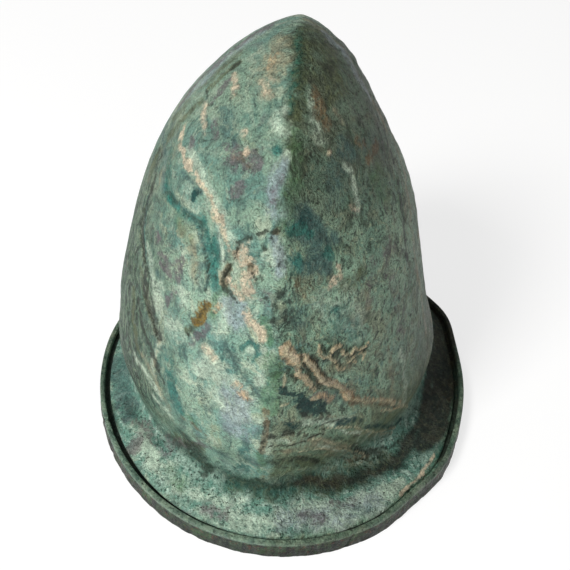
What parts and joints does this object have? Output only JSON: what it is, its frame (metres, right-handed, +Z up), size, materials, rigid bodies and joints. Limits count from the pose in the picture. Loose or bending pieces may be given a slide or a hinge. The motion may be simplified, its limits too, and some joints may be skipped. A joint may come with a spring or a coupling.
{
  "type": "negau helmet",
  "caption": "Ancient bronze helmet with a tall keeled crown, a drawn-in throat, and a flared brim with a groove and a raised lip.",
  "frame": {"origin": "middle of the rim, on the flat foot that the helmet stands on", "axes": "+Z up to the crown's top, -Y to the helmet's front, +X to the right of someone who faces its front"},
  "size_m": [0.22, 0.238, 0.232],
  "materials": {
    "patinated_bronze": "old bronze under a rough grey-green and olive patina, nearly matte"
  },
  "bodies": {
    "root": {"helmet_shell": "patinated_bronze"}
  },
  "joints": []
}
